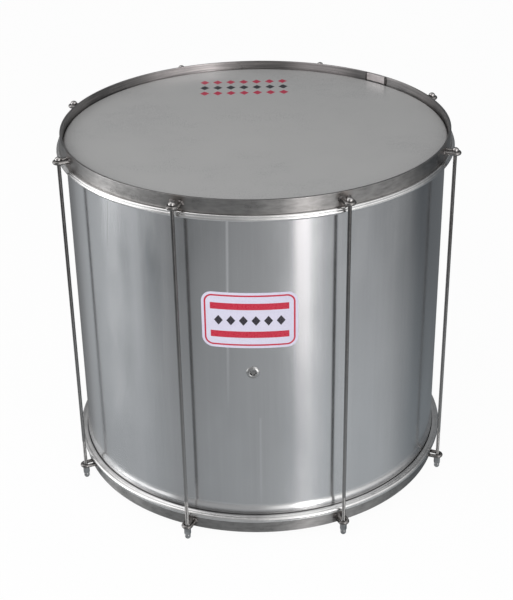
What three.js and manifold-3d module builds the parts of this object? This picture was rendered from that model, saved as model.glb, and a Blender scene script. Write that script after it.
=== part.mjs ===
// A surdo, the bass drum of a samba band: an aluminium shell with a plastic head on each end,
// two flat steel hoops, and eight full-length tension rods that pull the hoops together.
// Millimetres, +Z up. The drum stands on its tension nuts at z = 0, its axis is Z, and the vent
// and the label face -Y.

import * as THREE from 'three';
import { mergeVertices } from 'three/addons/utils/BufferGeometryUtils.js';
import Module from 'manifold-3d';

const wasm = await Module();
wasm.setup();

// Clearances
const fitGap = 0.3; // between pieces that touch on the real drum
const cutOver = 2; // how far a cutter runs past what it cuts
const weldTolerance = 0.0001; // corners closer than this are one corner

// Shell, rolled from sheet, with wider ends and inward-rolled bearing edges
const shellDiameter = 508;
const shellDepth = 460; // bearing edge to bearing edge
const shellWall = 1.2;
const edgeBend = 1.8; // inner radius of the rolled edge
const flareStep = 1.6; // how much wider the ends are, on the radius
const flareLength = 11; // length of the slope down to the middle
const lowFlareFromEdge = 18.5; // length of the wide lower end
const highFlareFromEdge = 5; // length of the wide upper end, which the head hides

// Vent eyelet, clinched in the shell
const ventBore = 8;
const ventBarrelWall = 1;
const ventFlange = 17;
const ventFlangeHeight = 1.8;
const ventBrim = 0.6; // edge thickness of the domed flange
const ventCurl = 13; // diameter of the clinched inner end
const ventCurlHeight = 1.2;
const ventRaise = 4; // above the middle of the shell
const ventTurnDegrees = -2.9; // round the shell from -Y

// Label, a thin sticker on the shell
const labelWidth = 120; // along the curve
const labelHeight = 77;
const labelCorner = 14;
const labelThickness = 0.4;
const labelRaise = 78; // above the middle of the shell
const labelTurnDegrees = -3.6;

// Heads: a plastic film, and the aluminium collar that its edge is set in
const filmThickness = 0.4;
const headRecess = 11.2; // from the rim of the hoop down to the film
const collarHeight = 7.4; // under the hoop
const collarOverhang = 5.9; // how far the collar stands out past the hoop
const farBeadRadius = 2.8; // the round edge on the side to the shell
const nearBeadRadius = 2.2; // the round edge beside the hoop
const nearBeadInset = 1.1; // how much less far out that one stands
const collarLip = 0.6; // how far it stands up past the hoop's edge
const seamFromInner = 5.4; // the collar's inner face to the middle of its seam, on the side to the shell
const seamWidth = 1;
const seamDepth = 0.7;
const skirtShare = 0.6; // how far down the collar the film reaches

// Hoops, of flat bar on edge
const hoopHeight = 18.6;
const hoopThickness = 3;
const hoopInset = 0.5; // hoop's inner face from the collar's inner face

// Splice plate, welded across the joint on the inner face of the top hoop
const spliceLength = 36;
const spliceThickness = 1.2;
const spliceHeight = 10;
const spliceDrop = 0.4; // below the rim
const spliceTurnDegrees = 45; // from +X

// Loops, of round wire, welded to the hoops
const loopWire = 5;
const loopPlay = 0.4; // between rod and wire

// Tension rods
const rodCount = 8;
const rodDiameter = 4.8;
const rodStandOff = 4.7; // from the collar to the rod
const rodHeadDiameter = 9;
const rodHeadHeight = 4.3;
const rodHeadBrim = 0.8; // straight edge below the head's dome
const rodEndEase = 0.6;
const rodEndGap = 0.5; // from the rod's end to the bottom of the nut's bore

// Washers and tension nuts
const washerDiameter = 10;
const washerThickness = 1.2;
const nutAcrossFlats = 8;
const nutHexHeight = 9.4;
const nutDomeDiameter = 7.6;
const nutDomeHeight = 7.6;
const nutTipFlat = 2.4;
const nutBoreDepth = 12;

// Facets
const ringFacets = 72;
const smallFacets = 12;
const ventFacets = 16;
const wireFacets = 8;
const bendSteps = 6; // rings round the bend of a loop
const beadSteps = 4; // round each bead of the collar
const labelColumns = 30;
const spliceColumns = 2;

// Radii that follow, from the shell outwards
const shellRadius = shellDiameter / 2;
const endRadius = shellRadius + flareStep;
const edgeRoll = edgeBend + shellWall;
const filmInner = endRadius + fitGap;
const filmOuter = filmInner + filmThickness;
const collarInner = filmOuter + fitGap;
const hoopInner = collarInner + hoopInset;
const hoopOuter = hoopInner + hoopThickness;
const collarOuter = hoopOuter + collarOverhang;
const rodRadius = rodDiameter / 2;
const rodCircle = collarOuter + rodStandOff + rodRadius;
const boreRadius = (rodRadius + fitGap) / Math.cos(Math.PI / smallFacets);
const loopBend = rodRadius + loopPlay + loopWire / 2;

// Heights that follow, from the nut tips upwards
const nutLength = nutHexHeight + nutDomeHeight;
const washerLow = nutLength + fitGap;
const lowLoopZ = washerLow + washerThickness + fitGap + loopWire / 2;
const rimLow = lowLoopZ - hoopHeight / 2;
const edgeDepth = headRecess + filmThickness + fitGap; // rim to bearing edge
const rimHigh = rimLow + shellDepth + 2 * edgeDepth;
const highLoopZ = rimHigh - hoopHeight / 2;
const shellLow = rimLow + edgeDepth;
const shellHigh = rimHigh - edgeDepth;
const shellMiddle = (shellLow + shellHigh) / 2;
const rodEndZ = nutLength - nutBoreDepth + rodEndGap;

function point(radius, height) {
  return new THREE.Vector2(radius, height);
}

// Points of an arc in a profile, from one angle to another
function arc(radius, height, bend, fromDegrees, toDegrees, steps) {
  const points = [];
  for (let i = 0; i <= steps; i += 1) {
    const angle = THREE.MathUtils.degToRad(fromDegrees + ((toDegrees - fromDegrees) * i) / steps);
    points.push(point(radius + bend * Math.cos(angle), height + bend * Math.sin(angle)));
  }
  return points;
}

// One corner where several lie together, and no triangle that has shrunk to a line
function weld(geometry) {
  const bare = geometry.clone();
  bare.deleteAttribute('normal');
  bare.deleteAttribute('uv');
  const merged = mergeVertices(bare, weldTolerance);
  const old = merged.index.array;
  const kept = [];
  for (let i = 0; i < old.length; i += 3) {
    const [a, b, c] = [old[i], old[i + 1], old[i + 2]];
    if (a !== b && b !== c && c !== a) kept.push(a, b, c);
  }
  merged.setIndex(kept);
  merged.computeVertexNormals();
  return merged;
}

function solidOf(geometry) {
  const welded = weld(geometry);
  const vertProperties = new Float32Array(welded.attributes.position.array);
  const triVerts = new Uint32Array(welded.index.array);
  return new wasm.Manifold(new wasm.Mesh({ numProp: 3, vertProperties, triVerts }));
}

function geometryOf(solid) {
  const mesh = solid.getMesh();
  const geometry = new THREE.BufferGeometry();
  geometry.setAttribute('position', new THREE.BufferAttribute(mesh.vertProperties, 3));
  geometry.setIndex(new THREE.BufferAttribute(mesh.triVerts, 1));
  geometry.computeVertexNormals();
  return geometry;
}

// A profile of radii and heights, listed with its solid on the left, turned about Z
function turned(profile, facets) {
  const geometry = new THREE.LatheGeometry(profile, facets);
  geometry.rotateX(Math.PI / 2);
  return weld(geometry);
}

function closed(profile) {
  return [...profile, profile[0].clone()];
}

// A profile measured inwards from a hoop's rim, set at the top of the drum or mirrored below
function atRim(profile, isTop) {
  if (isTop) return profile.map((p) => point(p.x, rimHigh - p.y));
  return profile.map((p) => point(p.x, rimLow + p.y)).reverse();
}

function rod(radius, lowZ, highZ, facets) {
  const geometry = new THREE.CylinderGeometry(radius, radius, highZ - lowZ, facets);
  geometry.rotateX(Math.PI / 2);
  geometry.translate(0, 0, (lowZ + highZ) / 2);
  return geometry;
}

// Materials
function aluminium(color) {
  return new THREE.MeshStandardMaterial({ color, metalness: 1, roughness: 0.34 });
}

function steel(color, roughness) {
  return new THREE.MeshStandardMaterial({ color, metalness: 1, roughness });
}

function plastic(color, roughness) {
  return new THREE.MeshStandardMaterial({ color, metalness: 0, roughness });
}

const drum = new THREE.Group();

function add(parent, name, geometry, material) {
  const mesh = new THREE.Mesh(geometry, material);
  mesh.name = name;
  parent.add(mesh);
  return mesh;
}

// Outer and inner lines of one end of the shell, from its middle round the edge and back, with
// heights measured inwards from the bearing edge
function shellEnd(flareFromEdge) {
  const slopeEnd = flareFromEdge + flareLength;
  const rollRadius = endRadius - edgeRoll;
  const outer = [point(shellRadius, slopeEnd), point(endRadius, flareFromEdge)];
  outer.push(...arc(rollRadius, edgeRoll, edgeRoll, 0, -180, 4));
  const inner = arc(rollRadius, edgeRoll, edgeBend, -180, 0, 4);
  inner.push(point(endRadius - shellWall, flareFromEdge));
  inner.push(point(shellRadius - shellWall, slopeEnd));
  return [...outer, ...inner];
}

function shellProfile() {
  const high = shellEnd(highFlareFromEdge).map((p) => point(p.x, shellHigh - p.y));
  const low = shellEnd(lowFlareFromEdge).map((p) => point(p.x, shellLow + p.y));
  return closed([...high, ...low.reverse()]);
}

// A piece made along Z, laid so that its outside points out of the shell at the vent
function faceVent(object) {
  object.rotation.set(Math.PI / 2, 0, 0);
  const turn = new THREE.Group();
  turn.rotation.z = THREE.MathUtils.degToRad(ventTurnDegrees);
  turn.position.z = shellMiddle + ventRaise;
  turn.add(object);
  turn.updateMatrixWorld(true);
  return turn;
}

const ventBarrel = ventBore / 2 + ventBarrelWall;
const shellInnerFlat = (shellRadius - shellWall) * Math.cos(Math.PI / ringFacets);

function makeShell() {
  const holeRadius = ventBarrel + fitGap;
  const tool = new THREE.Mesh(rod(holeRadius, shellInnerFlat - cutOver, shellRadius + cutOver, ventFacets));
  faceVent(tool);
  tool.geometry.applyMatrix4(tool.matrixWorld);
  const body = solidOf(turned(shellProfile(), ringFacets));
  return geometryOf(body.subtract(solidOf(tool.geometry)));
}

// Eyelet: a domed flange outside, a barrel through the wall and a clinched curl inside
function eyeletProfile() {
  const flangeLow = shellRadius + fitGap;
  const curlHigh = shellInnerFlat - fitGap;
  const bore = ventBore / 2;
  return closed([
    point(bore, curlHigh - ventCurlHeight),
    point(ventCurl / 2, curlHigh - ventCurlHeight),
    point(ventCurl / 2, curlHigh),
    point(ventBarrel, curlHigh),
    point(ventBarrel, flangeLow),
    point(ventFlange / 2, flangeLow),
    point(ventFlange / 2, flangeLow + ventBrim),
    point((ventFlange / 2 + ventBarrel) / 2, flangeLow + ventFlangeHeight),
    point(bore, flangeLow + ventFlangeHeight),
  ]);
}

// A plate bent round Z, centred on +X and z = 0, in columns that each reach as far up as down
function bentPlate(inner, outer, columns) {
  const positions = [];
  for (const [angle, reach] of columns) {
    for (const [radius, height] of [[inner, -reach], [outer, -reach], [outer, reach], [inner, reach]]) {
      positions.push(radius * Math.cos(angle), radius * Math.sin(angle), height);
    }
  }
  const index = [];
  const quad = (a, b, c, d) => index.push(a, b, c, a, c, d);
  for (let i = 0; i < columns.length - 1; i += 1) {
    const here = 4 * i;
    const next = here + 4;
    for (let side = 0; side < 4; side += 1) {
      const other = (side + 1) % 4;
      quad(here + side, next + side, next + other, here + other);
    }
  }
  const last = 4 * (columns.length - 1);
  quad(0, 1, 2, 3);
  quad(last + 3, last + 2, last + 1, last);
  const geometry = new THREE.BufferGeometry();
  geometry.setAttribute('position', new THREE.BufferAttribute(new Float32Array(positions), 3));
  geometry.setIndex(index);
  return weld(geometry);
}

// Label: its columns stand closer together towards the round corners
function labelGeometry() {
  const inner = shellRadius + fitGap;
  const half = labelWidth / 2;
  const straight = half - labelCorner;
  const columns = [];
  for (let i = 0; i <= labelColumns; i += 1) {
    const along = -half * Math.cos((Math.PI * i) / labelColumns);
    const intoCorner = Math.max(Math.abs(along) - straight, 0);
    const roundOff = labelCorner - Math.sqrt(Math.max(labelCorner ** 2 - intoCorner ** 2, 0));
    columns.push([along / inner, labelHeight / 2 - roundOff]);
  }
  return bentPlate(inner, inner + labelThickness, columns);
}

// Splice plate: it clears the middle of the hoop's facets
function spliceGeometry() {
  const outer = hoopInner * Math.cos(Math.PI / ringFacets) - fitGap;
  const halfAngle = spliceLength / outer / 2;
  const columns = [];
  for (let i = 0; i <= spliceColumns; i += 1) {
    columns.push([halfAngle * ((2 * i) / spliceColumns - 1), spliceHeight / 2]);
  }
  return bentPlate(outer - spliceThickness, outer, columns);
}

// Head film: flat, bent over the bearing edge, with a skirt down into the collar
function filmProfile() {
  const crownRadius = endRadius - edgeRoll;
  const crownDepth = edgeDepth + edgeRoll;
  const skirtEnd = hoopHeight + fitGap + collarHeight * skirtShare;
  const under = edgeRoll + fitGap;
  const over = under + filmThickness;
  return [
    point(0, edgeDepth - fitGap),
    ...arc(crownRadius, crownDepth, under, -90, 0, 2),
    point(filmInner, skirtEnd),
    point(filmOuter, skirtEnd),
    ...arc(crownRadius, crownDepth, over, 0, -90, 2),
    point(0, headRecess),
  ];
}

// The outer of the two points where circles round a and b meet
function meetingPoint(a, aRadius, b, bRadius) {
  const between = b.clone().sub(a);
  const spacing = between.length();
  const along = (spacing ** 2 + aRadius ** 2 - bRadius ** 2) / (2 * spacing);
  const across = Math.sqrt(aRadius ** 2 - along ** 2);
  const aside = point(-between.y, between.x).setLength(across);
  if (aside.x < 0) aside.negate();
  return between.setLength(along).add(a).add(aside);
}

// Collar: two beads with a groove between them on its outer side, the near one standing up
// beside the hoop, and an open seam on the side to the shell
function collarProfile() {
  const near = hoopHeight + fitGap;
  const far = near + collarHeight;
  const seam = collarInner + seamFromInner;
  const farBead = point(collarOuter - farBeadRadius, far - farBeadRadius);
  const nearRise = nearBeadRadius - collarLip;
  const nearBead = point(collarOuter - nearBeadInset - nearBeadRadius, near + nearRise);
  const groove = meetingPoint(farBead, farBeadRadius, nearBead, nearBeadRadius);
  const degreesAt = (bead) => THREE.MathUtils.radToDeg(Math.atan2(groove.y - bead.y, groove.x - bead.x));
  const nearEnd = THREE.MathUtils.radToDeg(Math.asin(nearRise / nearBeadRadius)) - 180;
  return closed([
    point(collarInner, far),
    point(seam - seamWidth / 2, far),
    point(seam - seamWidth / 2, far - seamDepth),
    point(seam + seamWidth / 2, far - seamDepth),
    point(seam + seamWidth / 2, far),
    ...arc(farBead.x, farBead.y, farBeadRadius, 90, degreesAt(farBead), beadSteps),
    ...arc(nearBead.x, nearBead.y, nearBeadRadius, degreesAt(nearBead), nearEnd, beadSteps).slice(1),
    point(collarInner, near),
  ]);
}

function hoopProfile() {
  return closed([
    point(hoopInner, hoopHeight),
    point(hoopOuter, hoopHeight),
    point(hoopOuter, 0),
    point(hoopInner, 0),
  ]);
}

// Loop: out along one leg, round the rod and back, its rings set closer in the bend
class LoopCurve extends THREE.Curve {
  constructor(legStart) {
    super();
    this.legStart = legStart;
    this.legShare = 1 / (bendSteps + 2);
  }

  getUtoTmapping(share) {
    return share;
  }

  getPoint(share, target = new THREE.Vector3()) {
    const side = share < 0.5 ? -1 : 1;
    const fromEnd = side < 0 ? share : 1 - share;
    if (fromEnd < this.legShare) {
      const x = THREE.MathUtils.lerp(this.legStart, rodCircle, fromEnd / this.legShare);
      return target.set(x, side * loopBend, 0);
    }
    const angle = (Math.PI * (share - 0.5)) / (1 - 2 * this.legShare);
    return target.set(rodCircle + loopBend * Math.cos(angle), loopBend * Math.sin(angle), 0);
  }
}

function loopGeometry() {
  const section = new THREE.Shape();
  const corner = loopWire / 2 / Math.cos(Math.PI / wireFacets);
  for (let i = 0; i < wireFacets; i += 1) {
    const angle = (2 * Math.PI * (i + 0.5)) / wireFacets;
    if (i === 0) section.moveTo(corner * Math.cos(angle), corner * Math.sin(angle));
    else section.lineTo(corner * Math.cos(angle), corner * Math.sin(angle));
  }
  const hoopFace = hoopOuter * Math.cos(Math.PI / ringFacets);
  const extrudePath = new LoopCurve(hoopFace + fitGap);
  return weld(new THREE.ExtrudeGeometry(section, { steps: bendSteps + 2, extrudePath }));
}

// Tension rod: a domed head above the top loop, and a plain shank down into the nut
function rodGeometry() {
  const headLow = highLoopZ + loopWire / 2 + fitGap;
  const headRadius = rodHeadDiameter / 2;
  const domeLow = headLow + rodHeadBrim;
  const domeRise = rodHeadHeight - rodHeadBrim;
  const dome = [0, 30, 60, 90].map((degrees) => {
    const angle = THREE.MathUtils.degToRad(degrees);
    return point(headRadius * Math.cos(angle), domeLow + domeRise * Math.sin(angle));
  });
  const profile = [
    point(0, rodEndZ),
    point(rodRadius - rodEndEase, rodEndZ),
    point(rodRadius, rodEndZ + rodEndEase),
    point(rodRadius, headLow),
    point(headRadius, headLow),
    ...dome,
  ];
  return turned(profile, smallFacets);
}

function washerGeometry() {
  const radius = washerDiameter / 2;
  const profile = closed([
    point(boreRadius, washerLow),
    point(radius, washerLow),
    point(radius, washerLow + washerThickness),
    point(boreRadius, washerLow + washerThickness),
  ]);
  return turned(profile, smallFacets);
}

// Tension nut: a hexagon above, a dome with a small flat tip below, bored blind from the top
function nutGeometry() {
  const cornerRadius = nutAcrossFlats / 2 / Math.cos(Math.PI / 6);
  const domeRadius = nutDomeDiameter / 2;
  const tipAngle = Math.asin(nutTipFlat / nutDomeDiameter);
  const centreZ = domeRadius * Math.cos(tipAngle);
  const startDegrees = THREE.MathUtils.radToDeg(tipAngle) - 90;
  const shankTop = nutDomeHeight + nutHexHeight / 2;
  const profile = [
    point(0, 0),
    ...arc(0, centreZ, domeRadius, startDegrees, 0, 3),
    point(domeRadius, shankTop),
    point(0, shankTop),
  ];
  const dome = solidOf(turned(profile, smallFacets));
  const hexagon = solidOf(rod(cornerRadius, nutDomeHeight, nutLength, 6));
  const bore = solidOf(rod(boreRadius, nutLength - nutBoreDepth, nutLength + cutOver, smallFacets));
  return geometryOf(dome.add(hexagon).subtract(bore));
}

function addHead(end, isTop) {
  const film = turned(atRim(filmProfile(), isTop), ringFacets);
  add(drum, `${end}_head_film`, film, plastic(0xb4b4b2, 0.55));
  const collar = turned(atRim(collarProfile(), isTop), ringFacets);
  add(drum, `${end}_head_collar`, collar, aluminium(0xc9cbcc));
  const hoop = turned(atRim(hoopProfile(), isTop), ringFacets);
  add(drum, `${end}_hoop`, hoop, steel(0x8d8a86, 0.38));
}

add(drum, 'shell', makeShell(), aluminium(0xa9adb0));

const eyelet = new THREE.Mesh(turned(eyeletProfile(), ventFacets), steel(0xb9b9b7, 0.3));
eyelet.name = 'vent_eyelet';
drum.add(faceVent(eyelet));

const label = add(drum, 'label', labelGeometry(), plastic(0xd9d6e2, 0.3));
label.rotation.z = THREE.MathUtils.degToRad(labelTurnDegrees) - Math.PI / 2;
label.position.z = shellMiddle + labelRaise;

addHead('top', true);
addHead('bottom', false);

const splice = add(drum, 'top_hoop_splice', spliceGeometry(), steel(0xa39c9a, 0.42));
splice.rotation.z = THREE.MathUtils.degToRad(spliceTurnDegrees);
splice.position.z = rimHigh - spliceDrop - spliceHeight / 2;

// One lug line: a loop on each hoop, a rod through both, its washer and its nut
for (let i = 0; i < rodCount; i += 1) {
  const lug = new THREE.Group();
  lug.rotation.z = (2 * Math.PI * (i + 0.5)) / rodCount - Math.PI / 2;
  drum.add(lug);
  const number = i + 1;
  const wire = steel(0x8f8d8b, 0.35);
  add(lug, `top_loop_${number}`, loopGeometry(), wire).position.z = highLoopZ;
  add(lug, `bottom_loop_${number}`, loopGeometry(), wire.clone()).position.z = lowLoopZ;
  add(lug, `rod_${number}`, rodGeometry(), steel(0x9c9a98, 0.3)).position.x = rodCircle;
  add(lug, `washer_${number}`, washerGeometry(), steel(0xa4a3a1, 0.3)).position.x = rodCircle;
  add(lug, `nut_${number}`, nutGeometry(), steel(0x84888a, 0.25)).position.x = rodCircle;
}

export default drum;
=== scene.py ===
# Surdo: a samba bass drum with an aluminium shell, flat steel hoops and eight tension rods.
# Metres, Z up, standing on its nuts at z = 0, vent and label towards -Y.

import math
import random

import bpy
from mathutils import Matrix, Vector


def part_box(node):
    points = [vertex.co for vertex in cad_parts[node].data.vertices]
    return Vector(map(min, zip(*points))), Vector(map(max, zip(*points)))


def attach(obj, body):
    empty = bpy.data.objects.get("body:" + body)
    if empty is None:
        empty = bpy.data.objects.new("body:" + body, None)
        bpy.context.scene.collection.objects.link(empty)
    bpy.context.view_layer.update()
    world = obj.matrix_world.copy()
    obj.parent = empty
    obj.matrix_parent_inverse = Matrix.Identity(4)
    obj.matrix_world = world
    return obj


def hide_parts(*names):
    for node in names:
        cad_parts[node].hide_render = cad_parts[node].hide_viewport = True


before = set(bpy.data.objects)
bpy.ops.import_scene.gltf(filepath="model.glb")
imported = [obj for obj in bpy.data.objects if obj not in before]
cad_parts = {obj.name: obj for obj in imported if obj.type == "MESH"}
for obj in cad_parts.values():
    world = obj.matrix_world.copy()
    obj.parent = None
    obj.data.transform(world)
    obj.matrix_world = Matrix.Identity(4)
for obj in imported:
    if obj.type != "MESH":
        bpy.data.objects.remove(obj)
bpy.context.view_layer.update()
mm = 0.001
degree = 180 / math.pi
print("surdo: frame loaded,", len(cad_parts), "nodes")

# Sizes that several pieces share, read from the frame
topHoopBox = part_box("top_hoop")
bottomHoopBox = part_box("bottom_hoop")
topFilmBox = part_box("top_head_film")
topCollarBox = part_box("top_head_collar")
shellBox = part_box("shell")
rimHigh = topHoopBox[1].z
rimLow = bottomHoopBox[0].z
midHeight = (rimHigh + rimLow) / 2
hoopOuter = topHoopBox[1].x
collarOuter = topCollarBox[1].x
filmOuter = topFilmBox[1].x
endRadius = shellBox[1].x
lugCount = 8


def lugAngle(number):
    return 2 * math.pi * (number - 0.5) / lugCount - math.pi / 2


def boxCentre(node):
    low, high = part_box(node)
    return (low + high) / 2


rodCircle = boxCentre("rod_1").xy.length
rodRadius = 2.4 * mm
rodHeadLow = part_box("rod_1")[1].z - 4.3 * mm
spliceHalf = 18 * mm  # half the length of the hoop's splice plate


# Mesh helpers
def makePiece(name, verts, faces, material, body="drum", sharpDegrees=38):
    mesh = bpy.data.meshes.new(name)
    mesh.from_pydata(verts, [], faces)
    mesh.validate()
    mesh.polygons.foreach_set("use_smooth", [True] * len(mesh.polygons))
    mesh.set_sharp_from_angle(angle=math.radians(sharpDegrees))
    mesh.materials.append(material)
    piece = bpy.data.objects.new(name, mesh)
    bpy.context.scene.collection.objects.link(piece)
    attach(piece, body)
    return piece


def onCircle(radius, angle, height=0.0):
    return Vector((radius * math.cos(angle), radius * math.sin(angle), height))


def softCorners(corners, bevel, steps=4):
    # each corner of a closed profile becomes a small curve with a flat strip kept on both sides
    points = []
    count = len(corners)
    for i in range(count):
        here = Vector(corners[i])
        before = Vector(corners[i - 1]) - here
        after = Vector(corners[(i + 1) % count]) - here
        size = bevel[i] if isinstance(bevel, tuple) else bevel
        size = min(size, before.length * 0.42, after.length * 0.42)
        start = here + before.normalized() * size
        end = here + after.normalized() * size
        points.append(here + before.normalized() * size * 1.15)
        for k in range(steps + 1):
            t = k / steps
            points.append(start * (1 - t) ** 2 + here * 2 * t * (1 - t) + end * t ** 2)
        points.append(here + after.normalized() * size * 1.15)
    return [(p.x, p.y) for p in points]


def turn(profile, segments, closed=True, place=None, radiusAt=None):
    # profile of (radius, height) with its solid on the left, turned about Z
    verts, rings = [], []
    for radius, height in profile:
        if radius < 1e-7:
            rings.append([len(verts)])
            verts.append(Vector((0, 0, height)))
            continue
        ring = []
        for i in range(segments):
            angle = 2 * math.pi * i / segments
            r = radiusAt(radius, height, angle) if radiusAt else radius
            ring.append(len(verts))
            verts.append(onCircle(r, angle, height))
        rings.append(ring)
    faces = []
    pairs = list(zip(rings, rings[1:]))
    if closed:
        pairs.append((rings[-1], rings[0]))
    for low, high in pairs:
        if len(low) == 1 and len(high) == 1:
            continue
        for i in range(segments):
            j = (i + 1) % segments
            if len(low) == 1:
                faces.append((low[0], high[j], high[i]))
            elif len(high) == 1:
                faces.append((low[i], low[j], high[0]))
            else:
                faces.append((low[i], low[j], high[j], high[i]))
    if place:
        verts = [place @ v for v in verts]
    return verts, faces


def closedBar(sections):
    # cross-sections with the same number of points, joined in a row and closed at both ends
    count = len(sections[0])
    verts = [spot for section in sections for spot in section]
    last = len(verts) - count
    faces = []
    for start in range(0, last, count):
        for k in range(count):
            n = (k + 1) % count
            faces.append((start + k, start + n, start + count + n, start + count + k))
    faces.append(tuple(reversed(range(count))))
    faces.append(tuple(range(last, last + count)))
    return verts, faces


def join(parts):
    verts, faces = [], []
    for partVerts, partFaces in parts:
        start = len(verts)
        verts.extend(partVerts)
        faces.extend(tuple(i + start for i in face) for face in partFaces)
    return verts, faces


def mirrored(profile):
    # the same profile at the bottom of the drum
    return [(r, 2 * midHeight - z) for r, z in reversed(profile)]


def arcPoints(radius, height, bend, startDegrees, endDegrees, steps):
    points = []
    for k in range(steps + 1):
        angle = math.radians(startDegrees + (endDegrees - startDegrees) * k / steps)
        points.append((radius + bend * math.cos(angle), height + bend * math.sin(angle)))
    return points


# Material helpers
noiseSpan = (0.35, 0.65)  # where most values of a noise lie
noiseSumSpan = (0.75, 1.25)  # the same for two noises added


def newFinish(name):
    material = bpy.data.materials.new(name)
    material.use_nodes = True
    tree = material.node_tree
    return material, tree, tree.nodes["Principled BSDF"]


def feed(tree, socket, value):
    if isinstance(value, bpy.types.NodeSocket):
        tree.links.new(value, socket)
    else:
        socket.default_value = value


def calc(tree, operation, a, b=0.0, c=0.0):
    node = tree.nodes.new("ShaderNodeMath")
    node.operation = operation
    feed(tree, node.inputs[0], a)
    feed(tree, node.inputs[1], b)
    feed(tree, node.inputs[2], c)
    return node.outputs[0]


def plus(tree, a, b):
    return calc(tree, "ADD", a, b)


def minus(tree, a, b):
    return calc(tree, "SUBTRACT", a, b)


def times(tree, a, b):
    return calc(tree, "MULTIPLY", a, b)


def isAbove(tree, a, b):
    return calc(tree, "GREATER_THAN", a, b)


def isBelow(tree, a, b):
    return calc(tree, "LESS_THAN", a, b)


def awayFrom(tree, value, middle):
    return calc(tree, "ABSOLUTE", minus(tree, value, middle))


def distance(tree, x, y):
    return calc(tree, "SQRT", plus(tree, times(tree, x, x), times(tree, y, y)))


def fromFront(tree, x, y):
    # radians from the front, more to the right
    return calc(tree, "ARCTAN2", x, times(tree, y, -1.0))


def spread(tree, value, fromLow, fromHigh, toLow=0.0, toHigh=1.0, smooth=False):
    node = tree.nodes.new("ShaderNodeMapRange")
    if smooth:
        node.interpolation_type = "SMOOTHSTEP"
    feed(tree, node.inputs["Value"], value)
    ends = (("From Min", fromLow), ("From Max", fromHigh), ("To Min", toLow), ("To Max", toHigh))
    for key, number in ends:
        feed(tree, node.inputs[key], number)
    return node.outputs["Result"]


def grain(tree, place, size, detail, stretch=(1, 1, 1)):
    # noise in lengths of the object, with features "size" long, drawn out by stretch
    mapping = tree.nodes.new("ShaderNodeMapping")
    mapping.inputs["Scale"].default_value = [s / size for s in stretch]
    tree.links.new(place, mapping.inputs["Vector"])
    noise = tree.nodes.new("ShaderNodeTexNoise")
    noise.inputs["Scale"].default_value = 1.0
    noise.inputs["Detail"].default_value = detail
    noise.inputs["Roughness"].default_value = 0.55
    tree.links.new(mapping.outputs[0], noise.inputs["Vector"])
    return noise.outputs["Fac"]


def blendColour(tree, factor, a, b):
    node = tree.nodes.new("ShaderNodeMix")
    node.data_type = "RGBA"
    feed(tree, node.inputs["Factor"], factor)
    feed(tree, node.inputs["A"], a)
    feed(tree, node.inputs["B"], b)
    return node.outputs["Result"]


def cover(tree, shader, shade, roughness, metallic=1.0):
    feed(tree, shader.inputs["Base Color"], shade)
    feed(tree, shader.inputs["Roughness"], roughness)
    shader.inputs["Metallic"].default_value = metallic


def bumpFrom(tree, shader, height, depth):
    node = tree.nodes.new("ShaderNodeBump")
    node.inputs["Distance"].default_value = depth
    node.inputs["Strength"].default_value = 1.0
    tree.links.new(height, node.inputs["Height"])
    tree.links.new(node.outputs["Normal"], shader.inputs["Normal"])


def objectPlace(tree):
    return tree.nodes.new("ShaderNodeTexCoord").outputs["Object"]


def splitPlace(tree, place):
    node = tree.nodes.new("ShaderNodeSeparateXYZ")
    tree.links.new(place, node.inputs[0])
    return node.outputs["X"], node.outputs["Y"], node.outputs["Z"]


def colour(r, g, b):
    return (r, g, b, 1.0)


def drawnRound(tree, shader, amount):
    # fine lines round the drum draw reflections out up and down
    shader.inputs["Anisotropic"].default_value = amount
    shader.inputs["Anisotropic Rotation"].default_value = 0.25
    around = tree.nodes.new("ShaderNodeTangent")
    around.direction_type = "RADIAL"
    around.axis = "Z"
    tree.links.new(around.outputs[0], shader.inputs["Tangent"])


# Aluminium
shellFinish = {
    "light": colour(0.68, 0.686, 0.697),
    "dark": colour(0.61, 0.616, 0.628),
    "roughness": (0.17, 0.22),
    "anisotropy": 0.82,
    "streakSize": 1.6 * mm,
    "waveSize": 55 * mm,
    "cloudSize": 130 * mm,
    "smearSize": 38 * mm,
    "waveDepth": 0.05 * mm,
    "streakDepth": 0.0006 * mm,
    "paintedGapShade": colour(0.38, 0.38, 0.385),  # painted shade below the lower slope, in the gap above the collar
    "paintedGapShadeBand": (17.6 * mm, 20 * mm),  # from the lower edge: full, gone
    "paintedSlopeHighlight": colour(0.86, 0.86, 0.865),  # painted highlight on the lower slope itself, where it faces up to the light
    "paintedSlopeHighlightBand": (20 * mm, 22 * mm, 27 * mm, 31 * mm),  # from the lower edge: start, full, full, gone
    # longer draw lines: degrees from the front at the foot and lean per metre up, heights where the line
    # starts and is full, its top, its half width, its tone and how strong it is
    "drawLines": [
        (-11.1, 4.1, (0.20, 0.36), 0.478, 2.6 * mm, colour(0.98, 0.98, 1.0), 0.95),
        (-1.25, 1.0, (0.05, 0.08), 0.19, 2.4 * mm, colour(0.98, 0.98, 1.0), 0.22),
        (-59.0, 25.0, (0.38, 0.42), 0.478, 1.3 * mm, colour(0.42, 0.42, 0.43), 0.5),
    ],
}


def addDrawLines(tree, place, shade):
    x, y, z = splitPlace(tree, place)
    angle = times(tree, fromFront(tree, x, y), degree)
    for foot, lean, lowEnd, top, half, tone, strength in shellFinish["drawLines"]:
        away = awayFrom(tree, angle, plus(tree, times(tree, z, lean), foot))
        share = spread(tree, away, 0.0, math.degrees(half / endRadius), strength, 0.0)
        share = times(tree, share, spread(tree, z, *lowEnd))
        share = times(tree, share, isBelow(tree, z, top))
        shade = blendColour(tree, share, shade, tone)
    return shade


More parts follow.
